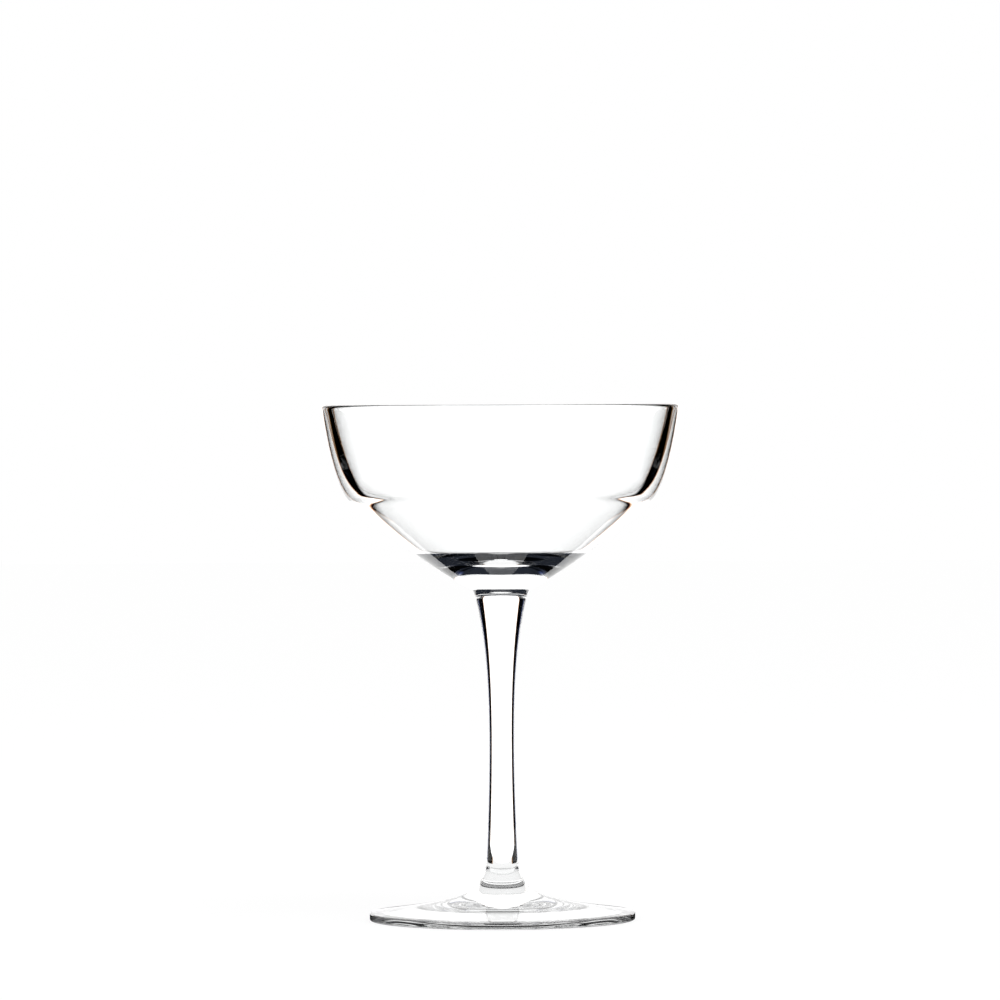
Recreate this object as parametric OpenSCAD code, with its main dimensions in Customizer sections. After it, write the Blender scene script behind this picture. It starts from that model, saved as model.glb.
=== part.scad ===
// Coupe glass: a wide, shallow drinking glass on a tall drawn stem and a round foot.
// It is three pieces of clear glass, each one turned about the Z axis and joined hot:
// the foot rests on the table, the stem stands on the foot, and the bowl sits on the stem.
// Millimetres, +Z up, with the origin at the centre of the ring that the foot rests on.

/* [Foot] */
// Diameter of the foot
foot_d = 70.6; // [64:0.2:78]
// Height of the foot's fused face above the table
foot_h = 11.2; // [9.6:0.1:13]
// Thickness of the foot at its edge
foot_edge_t = 2.1; // [1.6:0.1:2.8]
// Radius of the two corners of that edge
foot_corner_r = 0.5; // [0.3:0.05:0.75]
// Slope of the foot's top at its edge, in degrees
foot_slope = 7.4; // [6:0.2:11]
// Width of the flat ring under the foot
rest_ring_w = 3; // [1:0.1:4]
// Height of the hollow under the middle of the foot
foot_hollow_h = 1.6; // [1.2:0.1:2.6]
// Slope of the hollow beside the rest ring, in degrees
hollow_slope = 17; // [7:0.5:20]

/* [Stem] */
// Length of the stem between its two fused faces
stem_l = 75.1; // [60:0.1:95]
// Diameter of the fused face between foot and stem
ankle_d = 10.8; // [9.6:0.1:12]
// Flare of the glass at that face, in degrees from upright
ankle_flare = 22; // [14:1:34]
// Diameter of the stem just above its lower flare
shin_d = 8.6; // [7.6:0.1:9.2]
// Height of that place above the lower fused face
shin_h = 3.6; // [2.5:0.1:6]
// Taper of the stem there, in degrees from upright
shin_taper = 2.9; // [1:0.1:5]
// Diameter of the stem at its waist
waist_d = 6.7; // [5.5:0.1:7.4]
// Height of the waist above the lower fused face
waist_h = 36.8; // [28:0.1:44]
// Diameter of the fused face between stem and bowl
neck_d = 14; // [12:0.1:16]
// Flare of the glass at that face, in degrees from upright
neck_flare = 15; // [8:1:22]

/* [Bowl] */
// Height of the bowl from its fused face to the top of the rim
bowl_h = 50.7; // [46:0.1:60]
// Diameter across the outside of the rim
rim_d = 95; // [90:0.5:104]
// Thickness of the wall at the rim
rim_t = 2.3; // [1.6:0.1:2.8]
// Radius of the two corners of the rim
rim_corner_r = 0.7; // [0.4:0.05:0.75]
// Lean of the outside at the rim, in degrees from upright
rim_lean = 7; // [3:0.5:11]
// Diameter across the outside of the shoulder
shoulder_d = 80.5; // [76:0.1:85]
// Height of the shoulder above the fused face
shoulder_h = 24.8; // [22:0.1:28]
// Slope of the outside at the shoulder, in degrees
shoulder_slope = 45; // [40:1:52]
// Thickness of the wall at the shoulder
shoulder_t = 3.9; // [2.8:0.1:5]
// Diameter where the flank meets the curve under the bowl
button_d = 20; // [17:0.2:24]
// Height of that place above the fused face
button_h = 2.8; // [2:0.1:4]
// Slope of the outside there, in degrees
button_slope = 27; // [18:1:34]
// Diameter of the inside where its floor starts to level out
well_d = 44.2; // [38:0.2:50]
// Height of that place above the fused face
well_h = 13.8; // [12.4:0.1:16]
// Slope of the inside there, in degrees
well_slope = 40; // [34:1:46]
// Thickness of the glass at the middle of the floor
floor_t = 11.4; // [8:0.1:12]

/* [Hidden] */

// Segments in one curve of an outline, degrees between points round an edge, and facets of a turn
curve_steps = 18;
edge_step_deg = 12;
turn_facets = 180;

// How far each curve is drawn along its end directions, as a share of the straight line between its ends
foot_edge_share = 0.7;
foot_cove_share = 0.18;
hollow_edge_share = 0.46;
hollow_top_share = 0.52;
ankle_share = 0.4;
shin_share = 0.27;
waist_low_share = 0.38;
waist_high_share = 0.45;
neck_share = 0.24;
button_cove_share = 0.45;
button_top_share = 0.6;
flank_low_share = 0.22;
flank_high_share = 0.2;
side_low_share = 0.25;
side_high_share = 0.15;
lining_high_share = 0.08;
lining_low_share = 0.25;
well_high_share = 0.21;
well_low_share = 0.09;
floor_out_share = 0.34;
floor_in_share = 0.26;

// Heights of the two fused faces
ankle_z = foot_h;
neck_z = foot_h + stem_l;

glass_tint = [0.86, 0.92, 0.93, 0.4];

// A direction in an outline, at an angle above level and outwards
function heading(angle) = [cos(angle), sin(angle)];

// One smooth curve from a to b, leaving a along a_dir and arriving at b along b_dir
function curve(a, a_dir, a_share, b, b_dir, b_share) =
    let (span = norm(b - a), c = a + a_dir * span * a_share, d = b - b_dir * span * b_share)
    [for (i = [0 : curve_steps]) let (t = i / curve_steps, u = 1 - t)
        u * u * u * a + 3 * u * u * t * c + 3 * u * t * t * d + t * t * t * b];

// A rounded edge about a centre, from one angle round to another
function round_edge(centre, r, from_deg, to_deg) =
    let (steps = ceil((to_deg - from_deg) / edge_step_deg))
    [for (i = [0 : steps]) centre + r * heading(from_deg + (to_deg - from_deg) * i / steps)];

// The same outline without its last point, where the next curve starts
function open_end(points) = [for (i = [0 : len(points) - 2]) points[i]];

module turned(outline) {
    rotate_extrude($fn = turn_facets)
        polygon(outline);
}

module foot() {
    corner_x = foot_d / 2 - foot_corner_r;
    low_corner = [corner_x, foot_corner_r];
    high_corner = [corner_x, foot_edge_t - foot_corner_r];
    edge_top = high_corner + foot_corner_r * heading(90 - foot_slope);
    ring_in = [corner_x - rest_ring_w, 0];
    hollow_top = [0, foot_hollow_h];
    face_rim = [ankle_d / 2, foot_h];
    color(glass_tint)
        turned(concat(
            open_end(curve(hollow_top, [1, 0], hollow_top_share,
                ring_in, heading(-hollow_slope), hollow_edge_share)),
            [ring_in],
            round_edge(low_corner, foot_corner_r, -90, 0),
            open_end(round_edge(high_corner, foot_corner_r, 0, 90 - foot_slope)),
            curve(edge_top, heading(180 - foot_slope), foot_edge_share,
                face_rim, heading(90 + ankle_flare), foot_cove_share),
            [[0, foot_h]]));
}

module stem() {
    low_rim = [ankle_d / 2, 0];
    shin = [shin_d / 2, shin_h];
    waist = [waist_d / 2, waist_h];
    top_rim = [neck_d / 2, stem_l];
    color(glass_tint)
        translate([0, 0, ankle_z])
            turned(concat(
                [[0, 0]],
                open_end(curve(low_rim, heading(90 + ankle_flare), ankle_share,
                    shin, heading(90 + shin_taper), ankle_share)),
                open_end(curve(shin, heading(90 + shin_taper), shin_share,
                    waist, [0, 1], waist_low_share)),
                curve(waist, [0, 1], waist_high_share, top_rim, heading(90 - neck_flare), neck_share),
                [[0, stem_l]]));
}

module bowl() {
    low_rim = [neck_d / 2, 0];
    button = [button_d / 2, button_h];
    shoulder = [shoulder_d / 2, shoulder_h];
    outer_corner = [rim_d / 2 - rim_corner_r, bowl_h - rim_corner_r];
    inner_corner = [rim_d / 2 - rim_t + rim_corner_r, bowl_h - rim_corner_r];
    rim_out = outer_corner + rim_corner_r * heading(-rim_lean);
    rim_in = inner_corner + rim_corner_r * heading(180 - rim_lean);
    lining = shoulder + shoulder_t * heading(90 + shoulder_slope);
    well_edge = [well_d / 2, well_h];
    color(glass_tint)
        translate([0, 0, neck_z])
            turned(concat(
                [[0, 0]],
                open_end(curve(low_rim, heading(90 - neck_flare), button_cove_share,
                    button, heading(button_slope), button_top_share)),
                open_end(curve(button, heading(button_slope), flank_low_share,
                    shoulder, heading(shoulder_slope), flank_high_share)),
                open_end(curve(shoulder, heading(shoulder_slope), side_low_share,
                    rim_out, heading(90 - rim_lean), side_high_share)),
                round_edge(outer_corner, rim_corner_r, -rim_lean, 90),
                open_end(round_edge(inner_corner, rim_corner_r, 90, 180 - rim_lean)),
                open_end(curve(rim_in, heading(-90 - rim_lean), lining_high_share,
                    lining, heading(180 + shoulder_slope), lining_low_share)),
                open_end(curve(lining, heading(180 + shoulder_slope), well_high_share,
                    well_edge, heading(180 + well_slope), well_low_share)),
                curve(well_edge, heading(180 + well_slope), floor_out_share,
                    [0, floor_t], [-1, 0], floor_in_share)));
}

foot();
stem();
bowl();
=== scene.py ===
import math

import bmesh
import bpy
from mathutils import Matrix, Vector
from mathutils.geometry import interpolate_bezier


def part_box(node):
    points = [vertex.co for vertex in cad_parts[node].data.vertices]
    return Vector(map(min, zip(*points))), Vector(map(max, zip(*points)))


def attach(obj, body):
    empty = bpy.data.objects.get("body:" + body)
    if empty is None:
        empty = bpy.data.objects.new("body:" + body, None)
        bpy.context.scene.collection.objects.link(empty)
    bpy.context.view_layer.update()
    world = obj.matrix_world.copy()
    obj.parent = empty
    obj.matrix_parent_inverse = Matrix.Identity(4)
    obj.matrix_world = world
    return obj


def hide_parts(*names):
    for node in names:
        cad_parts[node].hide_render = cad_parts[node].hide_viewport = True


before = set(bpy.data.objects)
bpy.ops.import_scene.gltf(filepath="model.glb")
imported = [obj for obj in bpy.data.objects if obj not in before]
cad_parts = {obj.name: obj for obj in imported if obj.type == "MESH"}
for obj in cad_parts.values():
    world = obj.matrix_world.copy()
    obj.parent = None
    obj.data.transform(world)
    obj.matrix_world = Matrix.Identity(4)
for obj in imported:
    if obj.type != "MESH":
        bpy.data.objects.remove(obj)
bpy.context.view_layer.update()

MM = 0.001
UP = 90

# Facets of a turn, points in one curve of an outline, and degrees between points round an edge
TURN_STEPS = 192
CURVE_POINTS = 30
EDGE_STEP = 9

# Points closer than this are one point, and edges sharper than this many degrees show as edges
SAME_PLACE = 0.001 * MM
SHARP_EDGE = EDGE_STEP + 1

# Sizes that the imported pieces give
_, foot_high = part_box("foot")
_, stem_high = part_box("stem")
_, bowl_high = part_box("bowl")
foot_r = foot_high.x
rim_r = bowl_high.x
ankle_z = foot_high.z
neck_z = stem_high.z
neck_r = stem_high.x
rim_z = bowl_high.z

# Foot
ankle_r = 5.4 * MM
ankle_flare = 22
foot_edge_t = 2.1 * MM
foot_corner_r = 0.5 * MM
foot_slope = 7.4
rest_ring_w = 3.0 * MM
foot_hollow_h = 1.6 * MM
hollow_slope = 17

# Stem
shin_r = 4.3 * MM
shin_h = 3.6 * MM
shin_taper = 2.9
waist_r = 3.35 * MM
waist_h = 36.8 * MM
neck_flare = 15

# Bowl
rim_t = 2.3 * MM
rim_corner_r = 0.7 * MM
rim_lean = 7
shoulder_r = 40.25 * MM
shoulder_h = 24.8 * MM
shoulder_slope = 45
shoulder_t = 3.9 * MM
button_r = 10 * MM
button_h = 2.8 * MM
button_slope = 27
well_r = 22.1 * MM
well_h = 13.8 * MM
well_slope = 40
floor_t = 11.4 * MM

# How far each curve runs along its two end headings, as shares of the line between its ends
foot_under = (0.52, 0.46)
foot_top = (0.7, 0.18)
ankle_curve = (0.4, 0.4)
shin_to_waist = (0.27, 0.38)
waist_to_neck = (0.45, 0.24)
button_curve = (0.45, 0.6)
flank_curve = (0.22, 0.2)
side_curve = (0.25, 0.15)
lining_curve = (0.08, 0.25)
well_curve = (0.21, 0.09)
floor_curve = (0.34, 0.26)

# Photograph: the camera stands level with the rim, a long way off
camera_far = 1.75
camera_aside = -0.17 * MM
camera_lens = 237
camera_pitch = -0.83
camera_lean = -0.26
camera_reach = 20

# Glass: its faint waves, the grain and dullness of the wiped film on it, and the tints of that film
wave_size = 12 * MM
wave_height = 0.01 * MM
film_grain = 90.0
film_dullness = 0.006
film_tints = ((0.35, (0.988, 0.994, 0.993)), (0.65, (0.995, 0.998, 0.998)))
glass_ior = 1.5

# Lit panel: an oval close behind the glass, a little stronger towards its edge
panel_y = 0.12
panel_half_w = 0.102
panel_half_h = 0.205
panel_z = 0.012
panel_facets = 128
panel_strength = 1.3
panel_edge_extra = 0.4
panel_middle = 0.3
panel_outer = 0.9

# Table: just under the foot, white near the glass, and mostly glowing by itself for the camera
table_r = 4.0
table_facets = 96
table_gap = 0.03 * MM
white_table_r = 0.1
white_table_blur = 3 * MM
under_foot_r = 46 * MM
beyond_foot_r = 52 * MM
table_glow = 0.85
table_paint = (0.95, 0.95, 0.95, 1)

# Room: dark on both sides and in front, in degrees off the way that the photograph looks
dark_from = 26
dark_to = 60
warm_fringe = (0.5, 0.26, 0.1)
cool_fringe = (0.1, 0.13, 0.3)
front_from = 100
front_to = 112
front_grey = 0.05

# The outer surfaces mirror the room up to here, and black beyond
mirror_dark_from = 36
mirror_dark_to = 46

# From here on the table is beside the glass, and white where it is seen steeply
beside_from = 38
beside_to = 44
table_grazing = 20
table_steep = 27

# Dark overhead, in degrees above level
ceiling_from = 26
ceiling_to = 36
ceiling_colour = (0.022, 0.026, 0.036, 1)

# Light that met more faces of the glass than this came a long way. For it the lit panel, the table
# beyond the foot, and the room up to these degrees above level are dark.
straight_way = 4
level_from = 10
level_to = 20

# Soft lamp: high in front of the glass and to one side, aimed at the middle of its stem
lamp_place = (0.4, -0.6, 1.2)
lamp_aim = (0, 0, 0.05)
lamp_size = 1.0
lamp_power = 6

# Clear glass needs light to be followed through many faces
light_bounces = 24

BLACK = (0, 0, 0, 1)
WHITE = (1, 1, 1, 1)


def heading(degrees):
    """A direction in an outline, at an angle above level and outwards."""
    angle = math.radians(degrees)
    return Vector((math.cos(angle), 0, math.sin(angle)))


def place(r, z):
    """A point of an outline, at a radius and a height."""
    return Vector((r, 0, z))


def curve(a, a_way, b, b_way, shares):
    """Leaves a along one heading and arrives at b along another, without its last point."""
    span = (b - a).length
    leave = a + heading(a_way) * span * shares[0]
    arrive = b - heading(b_way) * span * shares[1]
    return interpolate_bezier(a, leave, arrive, b, CURVE_POINTS)[:-1]


def round_edge(centre, r, start, end):
    """An arc round a centre, without its last point."""
    steps = math.ceil((end - start) / EDGE_STEP)
    return [centre + heading(start + (end - start) * i / steps) * r for i in range(steps)]


def foot_outline():
    """From the top of the hollow, over the rest ring, the edge and the cove, to the fused face."""
    hollow_top = place(0, foot_hollow_h)
    low_corner = place(foot_r - foot_corner_r, foot_corner_r)
    high_corner = place(foot_r - foot_corner_r, foot_edge_t - foot_corner_r)
    ring_in = place(low_corner.x - rest_ring_w, 0)
    edge_top = high_corner + heading(UP - foot_slope) * foot_corner_r
    face_rim = place(ankle_r, ankle_z)
    outline = curve(hollow_top, 0, ring_in, -hollow_slope, foot_under)
    outline += [ring_in]
    outline += round_edge(low_corner, foot_corner_r, -UP, 0)
    outline += [low_corner + heading(0) * foot_corner_r]
    outline += round_edge(high_corner, foot_corner_r, 0, UP - foot_slope)
    outline += curve(edge_top, 180 - foot_slope, face_rim, UP + ankle_flare, foot_top)
    return outline + [face_rim, place(0, ankle_z)]


def stem_outline():
    """From the lower fused face, up over the waist, to the upper one."""
    low_rim = place(ankle_r, ankle_z)
    shin = place(shin_r, ankle_z + shin_h)
    waist = place(waist_r, ankle_z + waist_h)
    top_rim = place(neck_r, neck_z)
    outline = [place(0, ankle_z)]
    outline += curve(low_rim, UP + ankle_flare, shin, UP + shin_taper, ankle_curve)
    outline += curve(shin, UP + shin_taper, waist, UP, shin_to_waist)
    outline += curve(waist, UP, top_rim, UP - neck_flare, waist_to_neck)
    return outline + [top_rim, place(0, neck_z)]


def bowl_outline():
    """From the fused face, up the outside, over the rim and down the inside to the floor."""
    low_rim = place(neck_r, neck_z)
    button = place(button_r, neck_z + button_h)
    shoulder = place(shoulder_r, neck_z + shoulder_h)
    outer_corner = place(rim_r - rim_corner_r, rim_z - rim_corner_r)
    inner_corner = outer_corner - place(rim_t - 2 * rim_corner_r, 0)
    lip_out = outer_corner + heading(-rim_lean) * rim_corner_r
    lip_in = inner_corner + heading(180 - rim_lean) * rim_corner_r
    lining = shoulder + heading(UP + shoulder_slope) * shoulder_t
    well_edge = place(well_r, neck_z + well_h)
    floor_middle = place(0, neck_z + floor_t)
    outline = [place(0, neck_z)]
    outline += curve(low_rim, UP - neck_flare, button, button_slope, button_curve)
    outline += curve(button, button_slope, shoulder, shoulder_slope, flank_curve)
    outline += curve(shoulder, shoulder_slope, lip_out, UP - rim_lean, side_curve)
    outline += round_edge(outer_corner, rim_corner_r, -rim_lean, UP)
    outline += [outer_corner + heading(UP) * rim_corner_r]
    outline += round_edge(inner_corner, rim_corner_r, UP, 180 - rim_lean)
    outline += curve(lip_in, -UP - rim_lean, lining, 180 + shoulder_slope, lining_curve)
    outline += curve(lining, 180 + shoulder_slope, well_edge, 180 + well_slope, well_curve)
    outline += curve(well_edge, 180 + well_slope, floor_middle, 180, floor_curve)
    return outline + [floor_middle]


def turned_glass(name, outline, fused_heights, finish, seam):
    """One piece of glass, turned about the Z axis, with its fused faces in the seam material."""
    shape = bmesh.new()
    points = [shape.verts.new(point) for point in outline]
    lines = [shape.edges.new(pair) for pair in zip(points, points[1:])]
    bmesh.ops.spin(
        shape,
        geom=points + lines,
        cent=(0, 0, 0),
        axis=(0, 0, 1),
        angle=2 * math.pi,
        steps=TURN_STEPS,
        use_merge=True,
    )
    bmesh.ops.remove_doubles(shape, verts=shape.verts, dist=SAME_PLACE)
    bmesh.ops.recalc_face_normals(shape, faces=shape.faces)
    for face in shape.faces:
        face.smooth = True
    for edge in shape.edges:
        if edge.calc_face_angle(0) > math.radians(SHARP_EDGE):
            edge.smooth = False
    for height in fused_heights:
        for face in shape.faces:
            if all(abs(corner.co.z - height) < SAME_PLACE for corner in face.verts):
                face.material_index = 1
                for edge in face.edges:
                    edge.smooth = False
    mesh = bpy.data.meshes.new(name)
    shape.to_mesh(mesh)
    shape.free()
    mesh.materials.append(finish)
    mesh.materials.append(seam)
    piece = bpy.data.objects.new(name, mesh)
    bpy.context.scene.collection.objects.link(piece)
    return piece


class Wire:
    """A socket, so that shader maths reads as Python."""

    def __init__(self, graph, socket):
        self.graph = graph
        self.socket = socket

    def maths(self, operation, a, b):
        """One Math node."""
        return self.graph.node("ShaderNodeMath", {"operation": operation}, {0: a, 1: b})

    def __add__(self, other):
        return self.maths("ADD", self, other)

    def __radd__(self, other):
        return self.maths("ADD", other, self)

    def __sub__(self, other):
        return self.maths("SUBTRACT", self, other)

    def __rsub__(self, other):
        return self.maths("SUBTRACT", other, self)

    def __mul__(self, other):
        return self.maths("MULTIPLY", self, other)

    def __rmul__(self, other):
        return self.maths("MULTIPLY", other, self)

    def __truediv__(self, other):
        return self.maths("DIVIDE", self, other)

    def __gt__(self, other):
        return self.maths("GREATER_THAN", self, other)


class Graph:
    """The nodes of one material or of the world."""

    def __init__(self, tree):
        tree.nodes.clear()
        self.tree = tree

    def node(self, kind, settings=None, inputs=None, output=0):
        """A node with its settings, and then the values or links of its sockets."""
        made = self.tree.nodes.new(kind)
        for name, value in (settings or {}).items():
            if name == "stops":
                self.set_stops(made.color_ramp, value)
            else:
                setattr(made, name, value)
        for name, value in (inputs or {}).items():
            if isinstance(value, Wire):
                self.tree.links.new(value.socket, made.inputs[name])
            else:
                made.inputs[name].default_value = value
        if not made.outputs:
            return None
        return Wire(self, made.outputs[output])

    def split(self, vector):
        """The three parts of a vector."""
        parts = self.node("ShaderNodeSeparateXYZ", {}, {"Vector": vector}).socket.node.outputs
        return [Wire(self, part) for part in parts]

    def between(self, value, low, high):
        """0 below low, 1 above high, and a smooth rise between."""
        return self.node(
            "ShaderNodeMapRange",
            {"interpolation_type": "SMOOTHSTEP"},
            {"Value": value, "From Min": low, "From Max": high},
        )

    def blend(self, factor, a, b):
        """Colour a where the factor is 0, and b where it is 1 or more."""
        return self.node("ShaderNodeMix", {"data_type": "RGBA"}, {0: factor, 6: a, 7: b}, output=2)

    def set_stops(self, ramp, stops):
        """The colours of a ramp, at their places from 0 to 1."""
        first, *others = stops
        ramp.elements.remove(ramp.elements[1])
        ramp.elements[0].position = first[0]
        ramp.elements[0].color = (*first[1], 1)
        for position, colour in others:
            ramp.elements.new(position).color = (*colour, 1)


def grey(value):
    """The same value for red, green and blue."""
    return (value, value, value)


def clear_glass(name):
    """Clear fire-polished glass, with the faint waves, wiped film and tint that it has close to."""
    material = bpy.data.materials.new(name)
    material.use_nodes = True
    graph = Graph(material.node_tree)
    spot = graph.node("ShaderNodeTexCoord", output="Object")
    waves = graph.node("ShaderNodeTexNoise", {}, {"Vector": spot, "Scale": 1 / wave_size, "Detail": 1.0})
    film = graph.node("ShaderNodeTexNoise", {}, {"Vector": spot, "Scale": film_grain, "Detail": 4.0})
    tint = graph.node("ShaderNodeValToRGB", {"stops": film_tints}, {"Fac": film})
    bump = graph.node("ShaderNodeBump", {}, {"Height": waves, "Distance": wave_height, "Strength": 1.0})
    shader = graph.node(
        "ShaderNodeBsdfPrincipled",
        {},
        {
            "Base Color": tint,
            "Roughness": film * film_dullness,
            "Normal": bump,
            "IOR": glass_ior,
            "Transmission Weight": 1.0,
        },
    )
    graph.node("ShaderNodeOutputMaterial", {}, {"Surface": shader})
    return material


def fused_seam():
    """Where two pieces are melted together nothing is seen, so light goes straight on."""
    material = bpy.data.materials.new("fused_seam")
    material.use_nodes = True
    graph = Graph(material.node_tree)
    clear = graph.node("ShaderNodeBsdfTransparent")
    graph.node("ShaderNodeOutputMaterial", {}, {"Surface": clear})
    return material


def light_path(graph, output):
    """One of the things that a renderer knows about the light it follows."""
    return graph.node("ShaderNodeLightPath", output=output)


def in_glass(graph):
    """1 or more for what is seen through the glass or mirrored in it, and 0 for the rest."""
    return light_path(graph, "Is Glossy Ray") + light_path(graph, "Is Transmission Ray")


def long_way(graph):
    """1 for light that came a long way through the glass, and 0 for the rest."""
    return light_path(graph, "Ray Depth") > straight_way


def slope_of(degrees):
    """The rise of a way that climbs this steeply."""
    return math.sin(math.radians(degrees))


def half_turns(degrees):
    """The same angle as azimuth_of gives it."""
    return degrees / 180


def azimuth_of(graph, aside, ahead):
    """How far off the way that the photograph looks, left or right alike, from 0 to 1 for half a turn."""
    sideways = graph.node("ShaderNodeMath", {"operation": "ABSOLUTE"}, {0: aside})
    turn = graph.node("ShaderNodeMath", {"operation": "ARCTAN2"}, {0: sideways, 1: ahead})
    return turn / math.pi


def room(graph, azimuth):
    """What the glass meets level with it: white behind, dark, white again to the sides, dark in front."""
    return graph.node(
        "ShaderNodeValToRGB",
        {
            "stops": [
                (half_turns(dark_from - 2), grey(1.0)),
                (half_turns(dark_from), warm_fringe),
                (half_turns(dark_from + 2), grey(0.0)),
                (half_turns(dark_to - 3), grey(0.0)),
                (half_turns(dark_to + 3), cool_fringe),
                (half_turns(dark_to + 14), grey(1.0)),
                (half_turns(front_from), grey(1.0)),
                (half_turns(front_to), grey(front_grey)),
            ]
        },
        {"Fac": azimuth},
    )


def white_studio():
    """The camera sees white all round. The glass shows the studio, and mirrors little but the panel."""
    world = bpy.data.worlds.new("white_studio")
    world.use_nodes = True
    bpy.context.scene.world = world
    graph = Graph(world.node_tree)
    way = graph.node("ShaderNodeTexCoord", output="Generated")
    aside, ahead, rise = graph.split(way)
    azimuth = azimuth_of(graph, aside, ahead)
    overhead = graph.between(rise, slope_of(ceiling_from), slope_of(ceiling_to))
    studio = graph.blend(overhead, room(graph, azimuth), ceiling_colour)
    beside = graph.between(azimuth, half_turns(mirror_dark_from), half_turns(mirror_dark_to))
    mirrored = light_path(graph, "Is Reflection Ray") * beside
    studio = graph.blend(mirrored, studio, BLACK)
    level = 1 - graph.between(rise, slope_of(level_from), slope_of(level_to))
    studio = graph.blend(long_way(graph) * level, studio, BLACK)
    colour = graph.blend(in_glass(graph), WHITE, studio)
    background = graph.node("ShaderNodeBackground", {}, {"Color": colour, "Strength": 1.0})
    graph.node("ShaderNodeOutputWorld", {}, {"Surface": background})


def stage_piece(name, shape):
    """A floor or panel, which isn't part of the glass."""
    mesh = bpy.data.meshes.new(name)
    shape.to_mesh(mesh)
    shape.free()
    piece = bpy.data.objects.new(name, mesh)
    bpy.context.scene.collection.objects.link(piece)
    return piece


def pale_table():
    """White for the camera, with a faint shadow. The glass shows it white close by and dark beside."""
    shape = bmesh.new()
    bmesh.ops.create_circle(shape, cap_ends=True, radius=table_r, segments=table_facets)
    bmesh.ops.translate(shape, vec=(0, 0, -table_gap), verts=shape.verts)
    table = stage_piece("table", shape)
    material = bpy.data.materials.new("pale_table")
    material.use_nodes = True
    graph = Graph(material.node_tree)
    spot = graph.node("ShaderNodeTexCoord", output="Object")
    aside, ahead, _ = graph.split(spot)
    reach = graph.node("ShaderNodeVectorMath", {"operation": "LENGTH"}, {0: spot}, output="Value")
    away = graph.between(reach, white_table_r - white_table_blur, white_table_r + white_table_blur)
    beyond_foot = graph.between(reach, under_foot_r, beyond_foot_r)
    facing = graph.node("ShaderNodeLayerWeight", {}, {"Blend": 0.5}, output="Facing")
    grazing = graph.between(facing, 1 - slope_of(table_steep), 1 - slope_of(table_grazing))
    azimuth = azimuth_of(graph, aside, ahead)
    behind = 1 - graph.between(azimuth, half_turns(beside_from), half_turns(beside_to))
    studio = graph.blend(away * (grazing + behind), WHITE, room(graph, azimuth))
    mirrored = light_path(graph, "Is Reflection Ray")
    studio = graph.blend(mirrored + beyond_foot * long_way(graph), studio, BLACK)
    seen = in_glass(graph)
    colour = graph.blend(seen, WHITE, studio)
    glow = graph.node("ShaderNodeEmission", {}, {"Color": colour, "Strength": 1.0})
    diffuse = graph.node("ShaderNodeBsdfDiffuse", {}, {"Color": table_paint})
    lit = light_path(graph, "Is Camera Ray") * table_glow + seen
    mix = graph.node("ShaderNodeMixShader", {}, {0: lit, 1: diffuse, 2: glow})
    graph.node("ShaderNodeOutputMaterial", {}, {"Surface": mix})
    table.data.materials.append(material)


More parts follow.
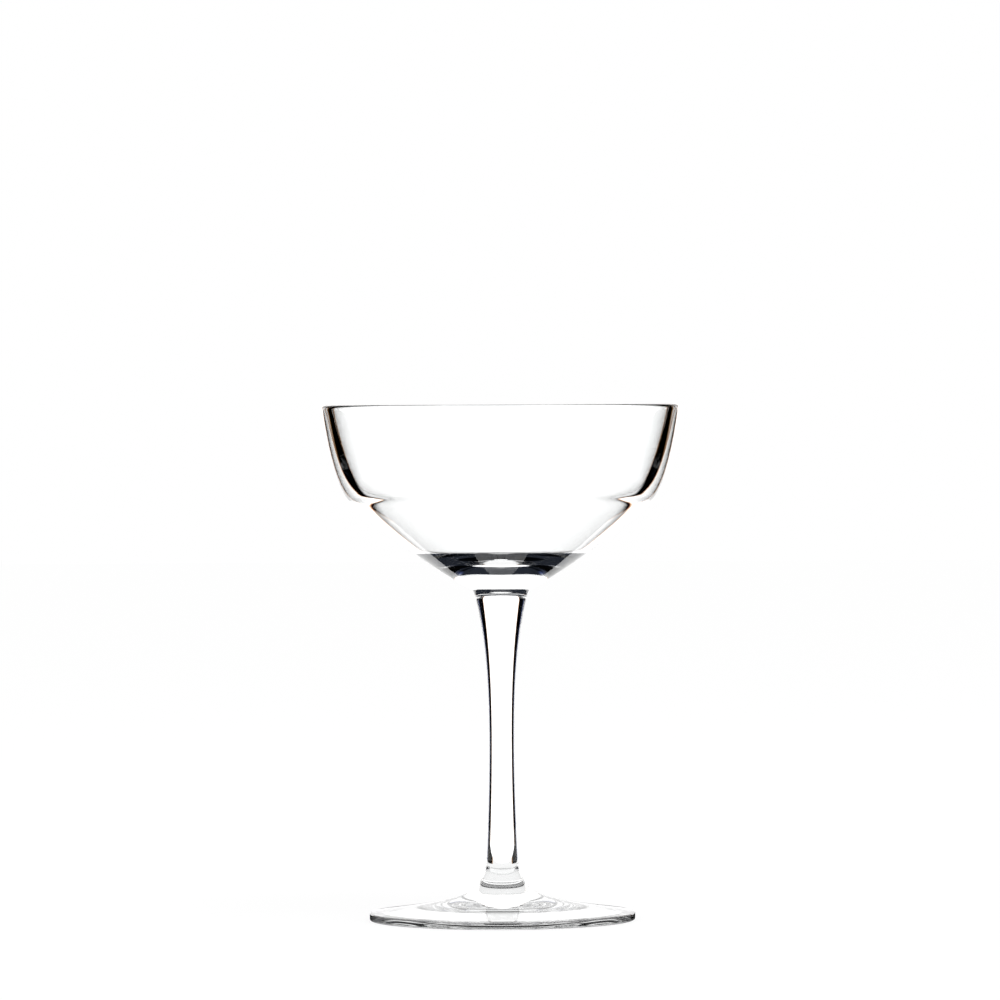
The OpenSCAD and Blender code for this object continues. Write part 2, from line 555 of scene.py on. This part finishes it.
def lit_panel():
    """The oval lit panel close behind the glass, seen only through it."""
    shape = bmesh.new()
    bmesh.ops.create_circle(shape, cap_ends=True, radius=1.0, segments=panel_facets)
    bmesh.ops.scale(shape, vec=(panel_half_w, panel_half_h, 1), verts=shape.verts)
    upright = Matrix.Rotation(math.radians(90), 3, "X")
    bmesh.ops.rotate(shape, cent=(0, 0, 0), matrix=upright, verts=shape.verts)
    bmesh.ops.translate(shape, vec=(0, panel_y, panel_z), verts=shape.verts)
    panel = stage_piece("lit_panel", shape)
    panel.visible_camera = False
    panel.visible_diffuse = False
    panel.visible_shadow = False
    material = bpy.data.materials.new("lit_panel")
    material.use_nodes = True
    graph = Graph(material.node_tree)
    spot = graph.node("ShaderNodeTexCoord", output="Object")
    middle = graph.node(
        "ShaderNodeMapping",
        {},
        {
            "Vector": spot,
            "Location": (0, 0, -panel_z / panel_half_h),
            "Scale": (1 / panel_half_w, 0, 1 / panel_half_h),
        },
    )
    out = graph.node("ShaderNodeVectorMath", {"operation": "LENGTH"}, {0: middle}, output="Value")
    edge = graph.node(
        "ShaderNodeValToRGB",
        {
            "stops": [
                (0.94, grey(1.0)),
                (0.965, (0.85, 0.5, 0.25)),
                (0.98, (0.15, 0.06, 0.05)),
                (1.0, grey(0.0)),
            ]
        },
        {"Fac": out},
    )
    brighter = graph.between(out, panel_middle, panel_outer)
    strength = (1 - long_way(graph)) * (panel_strength + brighter * panel_edge_extra)
    glow = graph.node("ShaderNodeEmission", {}, {"Color": edge, "Strength": strength})
    graph.node("ShaderNodeOutputMaterial", {}, {"Surface": glow})
    panel.data.materials.append(material)


def soft_lamp():
    """A wide lamp, which the glass doesn't show."""
    lamp = bpy.data.lights.new("soft_lamp", "AREA")
    lamp.size = lamp_size
    lamp.energy = lamp_power
    holder = bpy.data.objects.new("soft_lamp", lamp)
    holder.location = lamp_place
    shining = Vector(lamp_aim) - Vector(lamp_place)
    holder.rotation_euler = shining.to_track_quat("-Z", "Y").to_euler()
    bpy.context.scene.collection.objects.link(holder)
    holder.visible_glossy = False
    holder.visible_transmission = False


def camera():
    """Where the photograph was taken from, at the height of the rim."""
    data = bpy.data.cameras.new("camera")
    data.lens = camera_lens
    data.clip_end = camera_reach
    holder = bpy.data.objects.new("camera", data)
    bpy.context.scene.collection.objects.link(holder)
    holder.matrix_world = (
        Matrix.Translation((camera_aside, -camera_far, rim_z))
        @ Matrix.Rotation(math.radians(90 + camera_pitch), 4, "X")
        @ Matrix.Rotation(math.radians(camera_lean), 4, "Z")
    )
    bpy.context.scene.camera = holder


seam = fused_seam()
foot = turned_glass("foot_glass", foot_outline(), [ankle_z], clear_glass("foot_glass"), seam)
stem = turned_glass("stem_glass", stem_outline(), [ankle_z, neck_z], clear_glass("stem_glass"), seam)
bowl = turned_glass("bowl_glass", bowl_outline(), [neck_z], clear_glass("bowl_glass"), seam)
for piece, node in ((foot, "foot"), (stem, "stem"), (bowl, "bowl")):
    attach(piece, "root")
    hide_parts(node)

pale_table()
lit_panel()
white_studio()
soft_lamp()
camera()
bpy.context.scene.view_settings.view_transform = "Standard"
for limit in ("max_bounces", "glossy_bounces", "transmission_bounces", "transparent_max_bounces"):
    setattr(bpy.context.scene.cycles, limit, light_bounces)
